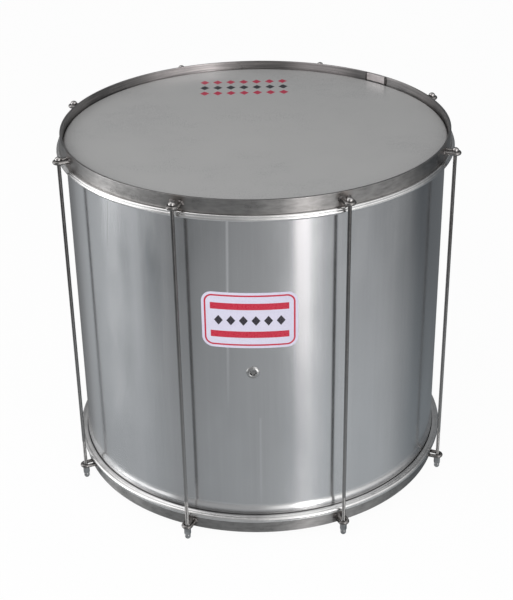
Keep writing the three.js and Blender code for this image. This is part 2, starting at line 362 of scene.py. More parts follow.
def addSlopeLightAndShade(tree, place, shade):
    height = minus(tree, splitPlace(tree, place)[2], shellBox[0].z)
    start, fullFrom, fullTo, end = shellFinish["paintedSlopeHighlightBand"]
    # painted highlight on the lower slope
    paintedSlopeHighlight = times(tree, spread(tree, height, start, fullFrom), spread(tree, height, fullTo, end, 1.0, 0.0))
    shade = blendColour(tree, paintedSlopeHighlight, shade, shellFinish["paintedSlopeHighlight"])
    # painted shade below the lower slope
    paintedGapShade = spread(tree, height, *shellFinish["paintedGapShadeBand"], 1.0, 0.0)
    return blendColour(tree, paintedGapShade, shade, shellFinish["paintedGapShade"])


def rolledAluminium():
    material, tree, shader = newFinish("rolledAluminium")
    place = objectPlace(tree)
    streaks = grain(tree, place, shellFinish["streakSize"], 3, (1, 1, 0.006))  # long up the shell
    waves = grain(tree, place, shellFinish["waveSize"], 1, (1, 1, 0.12))
    clouds = grain(tree, place, shellFinish["cloudSize"], 3, (1, 1, 0.6))
    smears = grain(tree, place, shellFinish["smearSize"], 4, (1, 1, 0.35))
    tone = spread(tree, plus(tree, times(tree, streaks, 0.3), times(tree, clouds, 0.7)), *noiseSpan)
    shade = blendColour(tree, tone, shellFinish["dark"], shellFinish["light"])
    shade = addSlopeLightAndShade(tree, place, addDrawLines(tree, place, shade))
    cover(tree, shader, shade, spread(tree, smears, *noiseSpan, *shellFinish["roughness"]))
    drawnRound(tree, shader, shellFinish["anisotropy"])
    slow = times(tree, waves, shellFinish["waveDepth"])
    fine = times(tree, streaks, shellFinish["streakDepth"])
    bumpFrom(tree, shader, plus(tree, slow, fine), 1.0)
    return material


collarFinish = {
    "light": colour(0.84, 0.835, 0.83),
    "dark": colour(0.74, 0.735, 0.73),
    "roughness": (0.18, 0.27),
    "lineSize": 0.5 * mm,
    "lineDepth": 0.003 * mm,
    "patchSize": 18 * mm,
}


def brightAluminium():
    material, tree, shader = newFinish("brightAluminium")
    place = objectPlace(tree)
    lines = grain(tree, place, collarFinish["lineSize"], 3, (0.03, 0.03, 1))
    patches = grain(tree, place, collarFinish["patchSize"], 3)
    tone = spread(tree, plus(tree, lines, patches), *noiseSumSpan)
    shade = blendColour(tree, tone, collarFinish["dark"], collarFinish["light"])
    cover(tree, shader, shade, spread(tree, patches, *noiseSpan, *collarFinish["roughness"]))
    bumpFrom(tree, shader, lines, collarFinish["lineDepth"])
    return material


# Plated steel
steels = {
    "hoopSteel": {"light": (0.385, 0.375, 0.37), "dark": (0.26, 0.255, 0.25), "roughness": (0.27, 0.37)},
    "spliceSteel": {"light": (0.84, 0.79, 0.79), "dark": (0.66, 0.61, 0.61), "roughness": (0.34, 0.46)},
    "wireSteel": {"light": (0.29, 0.28, 0.275), "dark": (0.18, 0.172, 0.168), "roughness": (0.18, 0.3)},
    "rodSteel": {"light": (0.22, 0.215, 0.212), "dark": (0.16, 0.156, 0.153), "roughness": (0.14, 0.24)},
    "washerSteel": {"light": (0.42, 0.42, 0.415), "dark": (0.30, 0.30, 0.295), "roughness": (0.2, 0.32)},
    "nutSteel": {"light": (0.46, 0.462, 0.465), "dark": (0.30, 0.302, 0.306), "roughness": (0.08, 0.16)},
    "eyeletSteel": {"light": (0.52, 0.52, 0.52), "dark": (0.42, 0.42, 0.42), "roughness": (0.24, 0.32)},
}
steelGrain = {"streakSize": 3 * mm, "patchSize": 26 * mm, "pitSize": 0.7 * mm}
pitDepths = {"plated": 0.006 * mm, "polished": 0.003 * mm}
hoopDrawn = 0.8  # how strongly the drawn lines of the bar draw reflections out
hoopTones = {
    "weldStain": colour(0.30, 0.26, 0.24),
    "weldStainReach": (0.012, 0.045),  # radians from a lug's middle: full, gone
    "insideDark": colour(0.21, 0.205, 0.205),
    "insideLight": colour(0.42, 0.40, 0.395),
    "paintedInsideReflection": colour(0.80, 0.75, 0.75),
    "paintedReflectionStretches": ((113, 10, 9), (66, 5, 8)),  # painted reflections on the inner face; degrees from +X: middle, half width, fade
    "blotSize": 120 * mm,
    "lineSize": 2.4 * mm,
    "paintedSpliceShade": colour(0.06, 0.055, 0.055),  # painted shade beside the welds of the splice plate
    "paintedSpliceShadeWidth": 2.2 * mm,
}
rodTones = {
    "lower": colour(0.32, 0.316, 0.312),  # painted light: the rods are drawn brighter towards the floor
    "lowerReach": (0.10, 0.36),  # height: full, gone
    # painted highlight on the rod heads, which catch the light from above
    "head": colour(0.46, 0.445, 0.44),
}


def aroundDegrees(tree, x, y):
    return times(tree, calc(tree, "ARCTAN2", y, x), degree)


def paintedShadeBesideSplice(tree, place, shade):
    # painted shade beside the welds at both ends of the splice plate
    x, y, z = splitPlace(tree, place)
    splice = boxCentre("top_hoop_splice")
    middle = math.degrees(math.atan2(splice.y, splice.x))
    fromMiddle = awayFrom(tree, aroundDegrees(tree, x, y), middle)
    fromEnd = awayFrom(tree, fromMiddle, math.degrees(spliceHalf / hoopOuter))
    wide = math.degrees(hoopTones["paintedSpliceShadeWidth"] / hoopOuter)
    # painted shade next to each end of the plate
    share = spread(tree, fromEnd, wide * 0.5, wide, 1.0, 0.0)
    share = times(tree, share, isAbove(tree, z, midHeight))
    return blendColour(tree, share, shade, hoopTones["paintedSpliceShade"])


def insideToneAndPaintedLight(tree, place):
    # the hoop's inner face has drawn lines, painted reflections in two stretches and painted shade beside the
    # splice
    x, y = splitPlace(tree, place)[:2]
    blots = grain(tree, place, hoopTones["blotSize"], 2, (1, 1, 0.5))
    lines = grain(tree, place, hoopTones["lineSize"], 3, (0.03, 0.03, 1))
    uneven = spread(tree, plus(tree, blots, times(tree, lines, 0.7)), 0.68, 1.02)
    tone = blendColour(tree, uneven, hoopTones["insideDark"], hoopTones["insideLight"])
    angle = aroundDegrees(tree, x, y)
    # painted reflections in two stretches of the inner face
    for middle, half, fade in hoopTones["paintedReflectionStretches"]:
        share = spread(tree, awayFrom(tree, angle, middle), half, half + fade, 0.9, 0.0)
        share = times(tree, share, spread(tree, lines, 0.35, 0.6, 0.45, 1.0))
        tone = blendColour(tree, share, tone, hoopTones["paintedInsideReflection"])
    return paintedShadeBesideSplice(tree, place, tone)


def hoopStainsAndPaintedLight(tree, place, pits, shade):
    # the welds leave a faint warm stain on the bar at every lug
    x, y = splitPlace(tree, place)[:2]
    step = 2 * math.pi / lugCount
    fromLug = awayFrom(tree, calc(tree, "WRAP", calc(tree, "ARCTAN2", y, x), step, 0.0), step / 2)
    stain = spread(tree, fromLug, *hoopTones["weldStainReach"], 1.0, 0.0)
    stain = times(tree, stain, spread(tree, pits, 0.3, 0.7, 0.35, 0.75))
    shade = blendColour(tree, stain, shade, hoopTones["weldStain"])
    inside = isBelow(tree, distance(tree, x, y), hoopOuter - 2 * mm)
    return blendColour(tree, inside, shade, insideToneAndPaintedLight(tree, place))


def splicePaintedShade(tree, place, pits, shade):
    return paintedShadeBesideSplice(tree, place, shade)


def rodPaintedLight(tree, place, pits, shade):
    height = splitPlace(tree, place)[2]
    # painted light: brighter towards the floor, and a painted highlight on the heads
    lower = spread(tree, height, *rodTones["lowerReach"], 1.0, 0.0)
    shade = blendColour(tree, lower, shade, rodTones["lower"])
    return blendColour(tree, isAbove(tree, height, rodHeadLow), shade, rodTones["head"])


def platedSteel(name, surface="plated", drawn=0.0, marks=None):
    material, tree, shader = newFinish(name)
    finish = steels[name]
    place = objectPlace(tree)
    streaks = grain(tree, place, steelGrain["streakSize"], 4, (0.25, 0.25, 1))
    patches = grain(tree, place, steelGrain["patchSize"], 3)
    pits = grain(tree, place, steelGrain["pitSize"], 2)
    tone = plus(tree, times(tree, streaks, 0.5), times(tree, patches, 0.5))
    dark, light = colour(*finish["dark"]), colour(*finish["light"])
    shade = blendColour(tree, spread(tree, tone, 0.38, 0.62), dark, light)
    if marks:
        shade = marks(tree, place, pits, shade)
    cover(tree, shader, shade, spread(tree, plus(tree, patches, pits), *noiseSumSpan, *finish["roughness"]))
    if drawn:
        drawnRound(tree, shader, drawn)
    bumpFrom(tree, shader, pits, pitDepths[surface])
    return material


weldAndShadeTones = {
    # dark weld scale, darkened further as painted shade where the loops meet the hoop
    "dark": colour(0.06, 0.055, 0.055),
    "light": colour(0.26, 0.245, 0.24),
    "roughness": (0.32, 0.5),
    "scaleSize": 1.2 * mm,
    "scaleDepth": 0.04 * mm,
}


def weldMetalAndShade():
    material, tree, shader = newFinish("weldMetalAndShade")
    scale = grain(tree, objectPlace(tree), weldAndShadeTones["scaleSize"], 3)
    shade = blendColour(tree, spread(tree, scale, *noiseSpan), weldAndShadeTones["dark"], weldAndShadeTones["light"])
    cover(tree, shader, shade, spread(tree, scale, *noiseSpan, *weldAndShadeTones["roughness"]))
    bumpFrom(tree, shader, scale, weldAndShadeTones["scaleDepth"])
    return material


# Film and label
filmFinish = {
    "light": colour(0.386, 0.386, 0.383),
    "dark": colour(0.368, 0.368, 0.367),
    "worn": colour(0.412, 0.41, 0.405),
    "wornReach": (0.05, 0.14),  # from the middle: full, gone
    "roughness": (0.26, 0.32),
    "cloudSize": 90 * mm,
    "speckSize": 1.5 * mm,
    "speckDepth": 0.02 * mm,
    "printBlack": colour(0.02, 0.02, 0.025),
    "printRed": colour(0.42, 0.02, 0.06),
    "printCentre": (-0.012, 0.172),
    "printCell": (19 * mm, 24 * mm),  # one lozenge with its share of the space
    "printCells": (7, 3),
}
lozengeShare = 0.36  # half a lozenge's width as a share of its cell


def lozenges(tree, across, up, cell, count):
    # a lattice of lozenges: mask, and the number of the row from the bottom
    columns, rows = count
    u = plus(tree, calc(tree, "DIVIDE", across, cell[0]), columns / 2)
    v = plus(tree, calc(tree, "DIVIDE", up, cell[1]), rows / 2)
    inU = awayFrom(tree, calc(tree, "FRACT", u), 0.5)
    inV = awayFrom(tree, calc(tree, "FRACT", v), 0.5)
    mask = isBelow(tree, plus(tree, inU, inV), lozengeShare)
    for value, most in ((u, columns), (v, rows)):
        mask = times(tree, mask, isAbove(tree, value, 0.0))
        mask = times(tree, mask, isBelow(tree, value, float(most)))
    return mask, calc(tree, "FLOOR", v)


def milkyFilm():
    material, tree, shader = newFinish("milkyFilm")
    place = objectPlace(tree)
    x, y, z = splitPlace(tree, place)
    clouds = grain(tree, place, filmFinish["cloudSize"], 4)
    specks = grain(tree, place, filmFinish["speckSize"], 2)
    shade = blendColour(tree, spread(tree, clouds, *noiseSpan), filmFinish["dark"], filmFinish["light"])
    worn = spread(tree, distance(tree, x, y), *filmFinish["wornReach"], 0.5, 0.0)
    worn = times(tree, worn, spread(tree, specks, 0.4, 0.6, 0.2, 1.0))
    shade = blendColour(tree, worn, shade, filmFinish["worn"])
    across = minus(tree, x, filmFinish["printCentre"][0])
    up = minus(tree, y, filmFinish["printCentre"][1])
    mask, row = lozenges(tree, across, up, filmFinish["printCell"], filmFinish["printCells"])
    mask = times(tree, mask, isAbove(tree, z, midHeight))  # only the top head is printed
    isMiddleRow = isBelow(tree, awayFrom(tree, row, 1.0), 0.5)
    ink = blendColour(tree, isMiddleRow, filmFinish["printRed"], filmFinish["printBlack"])
    roughness = spread(tree, plus(tree, clouds, specks), 0.7, 1.3, *filmFinish["roughness"])
    cover(tree, shader, blendColour(tree, mask, shade, ink), roughness, metallic=0.0)
    bumpFrom(tree, shader, specks, filmFinish["speckDepth"])
    return material


labelStyle = {
    "width": 120 * mm,
    "height": 77 * mm,
    "corner": 14 * mm,
    "turn": math.radians(-3.6),
    "radius": 254.5 * mm,  # of the printed face
    "field": colour(0.66, 0.64, 0.76),
    "fieldShade": colour(0.60, 0.58, 0.72),
    "red": colour(0.50, 0.02, 0.05),
    "black": colour(0.03, 0.025, 0.035),
    "keyline": (3.2 * mm, 5.4 * mm),  # from the edge
    "bars": (15 * mm, 24 * mm),  # from the middle, up and down
    "barInset": 11 * mm,  # from the edge
    "cell": (15.5 * mm, 19 * mm),
    "cells": (6, 1),
    "roughness": (0.24, 0.34),
}


def insideLabel(tree, across, up):
    # how far inside the rounded outline a point is
    corner = labelStyle["corner"]
    fromSide = minus(tree, calc(tree, "ABSOLUTE", across), labelStyle["width"] / 2 - corner)
    fromTop = minus(tree, calc(tree, "ABSOLUTE", up), labelStyle["height"] / 2 - corner)
    inCorner = distance(tree, calc(tree, "MAXIMUM", fromSide, 0.0), calc(tree, "MAXIMUM", fromTop, 0.0))
    flat = calc(tree, "MINIMUM", calc(tree, "MAXIMUM", fromSide, fromTop), 0.0)
    return minus(tree, corner, plus(tree, inCorner, flat))


def between(tree, value, low, high):
    return times(tree, isAbove(tree, value, low), isBelow(tree, value, high))


def printedLabel():
    material, tree, shader = newFinish("printedLabel")
    place = objectPlace(tree)
    x, y, z = splitPlace(tree, place)
    across = times(tree, minus(tree, fromFront(tree, x, y), labelStyle["turn"]), labelStyle["radius"])
    up = minus(tree, z, boxCentre("label").z)
    specks = grain(tree, place, 1.2 * mm, 2)
    clouds = grain(tree, place, 30 * mm, 2)
    shade = blendColour(tree, clouds, labelStyle["fieldShade"], labelStyle["field"])
    inside = insideLabel(tree, across, up)
    keyline = between(tree, inside, *labelStyle["keyline"])
    shade = blendColour(tree, keyline, shade, labelStyle["red"])
    bars = between(tree, calc(tree, "ABSOLUTE", up), *labelStyle["bars"])
    bars = times(tree, bars, isAbove(tree, inside, labelStyle["barInset"]))
    shade = blendColour(tree, bars, shade, labelStyle["red"])
    mask = lozenges(tree, across, up, labelStyle["cell"], labelStyle["cells"])[0]
    shade = blendColour(tree, mask, shade, labelStyle["black"])
    cover(tree, shader, shade, spread(tree, specks, *noiseSpan, *labelStyle["roughness"]), metallic=0.0)
    shader.inputs["Coat Weight"].default_value = 0.3
    shader.inputs["Coat Roughness"].default_value = 0.1
    bumpFrom(tree, shader, specks, 0.004 * mm)
    return material


aluminiumSheet = rolledAluminium()
aluminiumBar = brightAluminium()
hoopSteel = platedSteel("hoopSteel", drawn=hoopDrawn, marks=hoopStainsAndPaintedLight)
spliceSteel = platedSteel("spliceSteel", marks=splicePaintedShade)
wireSteel = platedSteel("wireSteel")
rodSteel = platedSteel("rodSteel", "polished", marks=rodPaintedLight)
washerSteel = platedSteel("washerSteel")
nutSteel = platedSteel("nutSteel", "polished")
eyeletSteel = platedSteel("eyeletSteel", "polished")
weldAndShadeFinish = weldMetalAndShade()
filmPlastic = milkyFilm()
labelPrint = printedLabel()
print("surdo: finishes made")


# Shell
shellShape = {
    "radius": 254 * mm,
    "wall": 1.2 * mm,
    "flareLength": 11 * mm,
    "lowFlareFromEdge": 18.5 * mm,
    "highFlareFromEdge": 5 * mm,  # hidden by the head
    "edgeBend": 1.8 * mm,
    "lowRows": (60 * mm, 120 * mm, 180 * mm),  # from the lower edge
    "highRows": (160 * mm, 100 * mm, 50 * mm, 17 * mm),  # from the upper edge
    "segments": 360,  # one a degree
    "ventHole": 5.3 * mm,  # radius
    "ventPatchDegrees": 4,  # half width of the finer patch round the vent
    "ventPatchHeight": 16 * mm,  # its half height
    "ventPatchRows": 9,
    "ventRings": (0.3, 0.6, 0.85, 1.0),  # shares of the way from the patch's edge to the hole
}


def ventPlace():
    centre = boxCentre("vent_eyelet")
    return math.atan2(centre.x, -centre.y), centre.z


def shellEnd(fromEdge, steps=10):
    # radius and distance from the bearing edge along the slope of a wider end
    rows = []
    for k in range(steps + 1):
        t = k / steps
        easing = (1 - math.cos(math.pi * t)) / 2
        radius = endRadius + (shellShape["radius"] - endRadius) * easing
        rows.append((radius, fromEdge + shellShape["flareLength"] * t))
    return rows


def shellProfile():
    # outer side from bottom to top, the rolled edge, and the inner side back down; with the rows of the vent
    wall, bend, radius = shellShape["wall"], shellShape["edgeBend"], shellShape["radius"]
    low, high = shellBox[0].z, shellBox[1].z
    ventZ = ventPlace()[1]
    patch = shellShape["ventPatchHeight"]
    outerRows = [(r, low + d) for r, d in shellEnd(shellShape["lowFlareFromEdge"])]
    outerRows += [(radius, low + d) for d in shellShape["lowRows"]]
    ventRow = len(outerRows)
    outerRows += [(radius, ventZ - patch), (radius, ventZ + patch)]
    outerRows += [(radius, high - d) for d in shellShape["highRows"]]
    outerRows += [(r, high - d) for r, d in reversed(shellEnd(shellShape["highFlareFromEdge"]))]
    roll = bend + wall
    curlHigh = arcPoints(endRadius - roll, high - roll, roll, 0, 180, 12)
    curlHigh += arcPoints(endRadius - roll, high - roll, bend, 180, 0, 10)
    curlLow = arcPoints(endRadius - roll, low + roll, bend, 0, -180, 10)
    curlLow += arcPoints(endRadius - roll, low + roll, roll, -180, 0, 12)
    innerRows = [(r - wall, z) for r, z in reversed(outerRows)]
    innerVentRow = len(outerRows) + len(curlHigh) + len(outerRows) - 2 - ventRow
    return outerRows + curlHigh + innerRows + curlLow, ventRow, innerVentRow


def ventRings(verts, loop, radius, ventAngle, ventZ):
    # rings of new points from the loop round the patch in to the round hole
    places = []
    for index in loop:
        v = verts[index]
        offset = math.atan2(v.y, v.x) - ventAngle
        offset = (offset + math.pi) % (2 * math.pi) - math.pi
        places.append(Vector((offset * radius, v.z - ventZ)))
    rings = [loop]
    for share in shellShape["ventRings"]:
        ring = []
        for spot in places:
            at = spot.lerp(spot.normalized() * shellShape["ventHole"], share)
            ring.append(len(verts))
            verts.append(onCircle(radius, ventAngle + at.x / radius, ventZ + at.y))
        rings.append(ring)
    return rings


def buildShell():
    segments = shellShape["segments"]
    profile, ventRow, innerVentRow = shellProfile()
    verts, faces = turn(profile, segments)

    # the vent: a patch of the grid is taken out and filled round the hole, outside and inside
    turned, ventZ = ventPlace()
    ventDegrees = math.degrees(turned) - 90
    ventAngle = math.radians(ventDegrees)
    patch = shellShape["ventPatchHeight"]
    first = round(ventDegrees) - shellShape["ventPatchDegrees"]
    columns = 2 * shellShape["ventPatchDegrees"]
    outside = (ventRow, shellShape["radius"], False)
    inside = (innerVentRow, shellShape["radius"] - shellShape["wall"], True)  # its rows run downwards
    taken = set()
    for row in (ventRow, innerVentRow):
        taken.update(row * segments + (first + i) % segments for i in range(-1, columns + 1))
    kept = [face for index, face in enumerate(faces) if index not in taken]
    rims = []
    for row, radius, isInside in (outside, inside):
        low = [row * segments + (first + i) % segments for i in range(columns + 1)]
        high = [index + segments for index in low]
        if isInside:
            low, high = high, low
        left, right = [], []
        for k in range(1, shellShape["ventPatchRows"]):
            z = ventZ - patch + 2 * patch * k / shellShape["ventPatchRows"]
            for side, degrees in ((left, first), (right, first + columns)):
                side.append(len(verts))
                verts.append(onCircle(radius, math.radians(degrees), z))
        rings = ventRings(verts, low + right + high[::-1] + left[::-1], radius, ventAngle, ventZ)
        for outerRing, innerRing in zip(rings, rings[1:]):
            for i in range(len(outerRing)):
                j = (i + 1) % len(outerRing)
                quad = (outerRing[i], outerRing[j], innerRing[j], innerRing[i])
                kept.append(quad[::-1] if isInside else quad)
        rims.append(rings[-1])
        # the quads beside the patch get its new side points too
        if isInside:
            left, right = left[::-1], right[::-1]
        a, b, c, d = faces[row * segments + (first - 1) % segments]
        kept.append((a, b, *left, c, d))
        kept.append((*faces[row * segments + (first + columns) % segments], *right[::-1]))
    outerRim, innerRim = rims
    for i in range(len(outerRim)):
        j = (i + 1) % len(outerRim)
        kept.append((outerRim[i], outerRim[j], innerRim[j], innerRim[i]))
    return verts, kept


shellPiece = makePiece("shellSheet", *buildShell(), aluminiumSheet)
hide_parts("shell")
print("surdo: shell rolled")


# Vent eyelet
eyeletShape = {
    "bore": 4.0 * mm,
    "flange": 8.5 * mm,
    "height": 1.8 * mm,
    "curl": 6.4 * mm,
    "gap": 0.05 * mm,  # to the sheet, outside and inside
}


def buildEyelet():
    angle, z = ventPlace()
    out = Matrix.Rotation(angle, 4, "Z") @ Matrix.Rotation(math.pi / 2, 4, "X")
    place = Matrix.Translation((0, 0, z)) @ out
    face = shellShape["radius"] + eyeletShape["gap"]
    back = shellShape["radius"] - shellShape["wall"] - eyeletShape["gap"]
    bore, flange, height, curl = (eyeletShape[k] for k in ("bore", "flange", "height", "curl"))
    profile = [
        (bore + 0.25 * mm, back - 1.0 * mm),
        (bore + 1.1 * mm, back - 1.3 * mm),
        (curl - 0.8 * mm, back - 1.1 * mm),
        (curl, back - 0.5 * mm),
        (curl - 0.1 * mm, back - 0.1 * mm),
        (bore + 1.0 * mm, back),
        (bore + 1.0 * mm, face),
        (flange - 0.15 * mm, face),
        (flange, face + 0.2 * mm),
        (flange - 0.25 * mm, face + 0.55 * mm),
        (flange - 1.2 * mm, face + 1.15 * mm),
        (flange - 2.5 * mm, face + height * 0.93),
        (bore + 1.2 * mm, face + height),
        (bore + 0.45 * mm, face + height * 0.93),
        (bore + 0.08 * mm, face + height * 0.6),
        (bore, face + height * 0.2),
    ]
    return turn(profile, 64, place=place)


eyeletPiece = makePiece("ventEyelet", *buildEyelet(), eyeletSteel, sharpDegrees=60)
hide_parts("vent_eyelet")


# Label
labelSheet = {"gap": 0.02 * mm, "thickness": 0.4 * mm, "steps": 120}


def buildLabel():
    # a bent plate with closed edges, in columns that follow the rounded corners
    inner = shellShape["radius"] + labelSheet["gap"]
    outer = inner + labelSheet["thickness"]
    half = labelStyle["width"] / 2
    corner = labelStyle["corner"]
    centreZ = boxCentre("label").z
    steps = labelSheet["steps"]
    verts, faces = [], []
    for i in range(steps + 1):
        along = -half * math.cos(math.pi * i / steps)
        into = max(abs(along) - (half - corner), 0)
        reach = labelStyle["height"] / 2 - corner + math.sqrt(max(corner ** 2 - into ** 2, 0))
        a = along / inner + labelStyle["turn"]
        for radius, height in ((inner, -reach), (outer, -reach), (outer, reach), (inner, reach)):
            verts.append(Vector((radius * math.sin(a), -radius * math.cos(a), centreZ + height)))
    last = 4 * steps
    for start in range(0, last, 4):
        for side in range(4):
            other = (side + 1) % 4
            faces.append((start + side, start + 4 + side, start + 4 + other, start + other))
    faces.append((0, 1, 2, 3))
    faces.append((last + 3, last + 2, last + 1, last))
    return verts, faces


labelPiece = makePiece("sticker", *buildLabel(), labelPrint)
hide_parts("label")
print("surdo: vent and label set")


# Heads
headShape = {
    "film": 0.4 * mm,
    "recess": 11.2 * mm,  # rim of the hoop to the film
    "crown": 3.7 * mm,
    "filmRows": (60 * mm, 200 * mm),
    "segments": 360,
    "hoopGap": 0.05 * mm,
    "filmGap": 0.3 * mm,
    "farBead": 2.8 * mm,  # round edge on the side to the shell
    "nearBead": 2.2 * mm,  # round edge beside the hoop
    "nearBeadInset": 1.1 * mm,
    "seamFrom": 5.4 * mm,  # from the collar's inner side
    "seamWidth": 1.0 * mm,
    "seamDepth": 0.7 * mm,
}


def filmProfile():
    crownRadius = filmOuter - headShape["crown"]
    top = rimHigh - headShape["recess"]
    skirt = topFilmBox[0].z
    film = headShape["film"]
    centreZ = top - headShape["crown"]
    points = [(r, top - film) for r in (0, *headShape["filmRows"])]
    points += arcPoints(crownRadius, centreZ, headShape["crown"] - film, 90, 0, 10)
    points += [(filmOuter - film, skirt), (filmOuter, skirt)]
    points += arcPoints(crownRadius, centreZ, headShape["crown"], 0, 90, 12)
    points += [(r, top) for r in (*reversed(headShape["filmRows"]), 0)]
    return points


def outerMeeting(a, aRadius, b, bRadius):
    # the outer of the two points where circles round a and b meet
    apart = b - a
    along = (apart.length ** 2 + aRadius ** 2 - bRadius ** 2) / (2 * apart.length)
    aside = Vector((-apart.y, apart.x)).normalized() * math.sqrt(aRadius ** 2 - along ** 2)
    if aside.x < 0:
        aside.negate()
    return a + apart.normalized() * along + aside


def collarProfile():
    # the extruded bar: a seam line on the face to the shell, and two beads with a groove between them outside
    near = topHoopBox[0].z - headShape["hoopGap"]
    far = topCollarBox[0].z
    inner = filmOuter + headShape["filmGap"]
    farSize, nearSize = headShape["farBead"], headShape["nearBead"]
    farBead = Vector((collarOuter - farSize, far + farSize))
    nearBead = Vector((collarOuter - headShape["nearBeadInset"] - nearSize, topCollarBox[1].z - nearSize))
    groove = outerMeeting(farBead, farSize, nearBead, nearSize)
    farEnd = math.degrees(math.atan2(groove.y - farBead.y, groove.x - farBead.x))
    nearStart = math.degrees(math.atan2(groove.y - nearBead.y, groove.x - nearBead.x))
    nearEnd = 180 - math.degrees(math.asin((near - nearBead.y) / nearSize))
    seam = inner + headShape["seamFrom"]
    wide, deep = headShape["seamWidth"] / 2, headShape["seamDepth"]
    points = [
        (inner, far),
        (seam - wide - 0.2 * mm, far),
        (seam - wide, far + deep * 0.3),
        (seam - wide * 0.7, far + deep),
        (seam + wide * 0.7, far + deep),
        (seam + wide, far + deep * 0.3),
        (seam + wide + 0.2 * mm, far),
    ]
    points += arcPoints(farBead.x, farBead.y, farSize, -90, farEnd, 16)
    points += arcPoints(nearBead.x, nearBead.y, nearSize, nearStart, nearEnd, 16)[1:]
    points += [(hoopOuter, near), (inner, near)]
    return points


for end, flip in (("top", False), ("bottom", True)):
    for kind, profile, finish, slotName, closed in (
        ("head_film", filmProfile(), filmPlastic, "head_film", False),
        ("head_collar", collarProfile(), aluminiumBar, "collar", True),
    ):
        lines = mirrored(profile) if flip else profile
        shape = turn(lines, headShape["segments"], closed=closed)
        name = end + ("HeadFilm" if kind == "head_film" else "HeadCollar")
        piece = makePiece(name, *shape, finish, sharpDegrees=50)
        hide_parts(f"{end}_{kind}")
print("surdo: heads tucked")


# Hoops
hoopShape = {
    "thickness": 3 * mm,
    "height": 18.6 * mm,
    "bevels": (0.25 * mm, 0.2 * mm, 0.45 * mm, 0.45 * mm),
    "segments": 360,
}


def hoopProfile():
    inner = hoopOuter - hoopShape["thickness"]
    low = rimHigh - hoopShape["height"]
    corners = [(inner, low), (hoopOuter, low), (hoopOuter, rimHigh), (inner, rimHigh)]
    return softCorners(corners, hoopShape["bevels"])


for end, flip in (("top", False), ("bottom", True)):
    lines = mirrored(hoopProfile()) if flip else hoopProfile()
    piece = makePiece(f"{end}Hoop", *turn(lines, hoopShape["segments"]), hoopSteel)
    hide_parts(f"{end}_hoop")


# Splice plate of the top hoop
spliceShape = {
    "gap": 0.05 * mm,  # to the hoop
    "thickness": 1.2 * mm,
    "height": 10 * mm,
    "turn": math.radians(45),
    "ease": 0.25 * mm,
    "steps": 24,
    "bead": 1.5 * mm,
    "beadInset": 0.3 * mm,  # from the plate's upper and lower edge
    "beadOut": 0.5 * mm,  # beyond the plate's end
    "beadSteps": 34,
}


def buildSplice():
    outer = hoopOuter - hoopShape["thickness"] - spliceShape["gap"]
    inner = outer - spliceShape["thickness"]
    half = spliceHalf / outer
    centreZ = boxCentre("top_hoop_splice").z
    reach = spliceShape["height"] / 2
    corners = [(inner, -reach), (outer, -reach), (outer, reach), (inner, reach)]
    section = softCorners(corners, spliceShape["ease"], 3)
    sections = []
    for i in range(spliceShape["steps"] + 1):
        angle = spliceShape["turn"] - half + 2 * half * i / spliceShape["steps"]
        sections.append([onCircle(radius, angle, centreZ + height) for radius, height in section])
    verts, faces = closedBar(sections)
    return verts, [face[::-1] for face in faces]  # the section runs the other way round


def buildSpliceWelds():
    # an upright weld bead along each end of the plate, with the ripples of a hand-held torch
    shaky = random.Random(4)
    outer = hoopOuter - hoopShape["thickness"]
    low = boxCentre("top_hoop_splice").z - spliceShape["height"] / 2 + spliceShape["beadInset"]
    tall = spliceShape["height"] - 2 * spliceShape["beadInset"]
    count = spliceShape["beadSteps"]
    parts = []
    for side in (-1, 1):
        angle = spliceShape["turn"] + side * (spliceHalf + spliceShape["beadOut"]) / outer
        place = Matrix.Translation(onCircle(outer, angle)) @ Matrix.Rotation(angle, 4, "Z")
        rows = []
        for k in range(count + 1):
            share = k / count
            swell = math.sqrt(max(1 - (2 * share - 1) ** 6, 0))
            ripple = 1 + 0.10 * math.sin(share * 40) + shaky.uniform(-0.04, 0.04)
            least = 0 if k in (0, count) else 0.1 * mm
            rows.append((max(spliceShape["bead"] * swell * ripple, least), low + tall * share))
        parts.append(turn(rows, 20, closed=False, place=place))
    return join(parts)


splicePiece = makePiece("hoopSplice", *buildSplice(), spliceSteel)
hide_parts("top_hoop_splice")
spliceWelds = makePiece("hoopSpliceWelds", *buildSpliceWelds(), weldAndShadeFinish, sharpDegrees=70)
print("surdo: hoops bent")


# Loops
loopShape = {
    "wire": 2.5 * mm,  # radius
    "play": 0.4 * mm,
    "sunk": 0.15 * mm,  # ends in the weld
    "sides": 24,
    "legSteps": 4,
    "bendSteps": 28,
    "weldReach": 1.7 * mm,
    "weldSunk": 0.25 * mm,
    "weldSteps": 8,
    "weldLobes": 4,
    "weldUneven": 0.35,
}
loopBend = rodRadius + loopShape["play"] + loopShape["wire"]


def wireSection(path, i):
    # a round section of the wire, square to a path in the XY plane
    along = (path[min(i + 1, len(path) - 1)] - path[max(i - 1, 0)]).normalized()
    side = Vector((-along.y, along.x, 0))
    section = []
    for k in range(loopShape["sides"]):
        angle = 2 * math.pi * k / loopShape["sides"]
        lift = Vector((0, 0, loopShape["wire"] * math.sin(angle)))
        section.append(path[i] + side * loopShape["wire"] * math.cos(angle) + lift)
    return section


def buildLoop():
    start = hoopOuter - loopShape["sunk"]
    legs = loopShape["legSteps"]
    along = [start + (rodCircle - start) * k / legs for k in range(legs)]
    path = [Vector((x, -loopBend, 0)) for x in along]
    for k in range(loopShape["bendSteps"] + 1):
        angle = -math.pi / 2 + math.pi * k / loopShape["bendSteps"]
        path.append(Vector((rodCircle + loopBend * math.cos(angle), loopBend * math.sin(angle), 0)))
    path += [Vector((x, loopBend, 0)) for x in reversed(along)]
    return closedBar([wireSection(path, i) for i in range(len(path))])


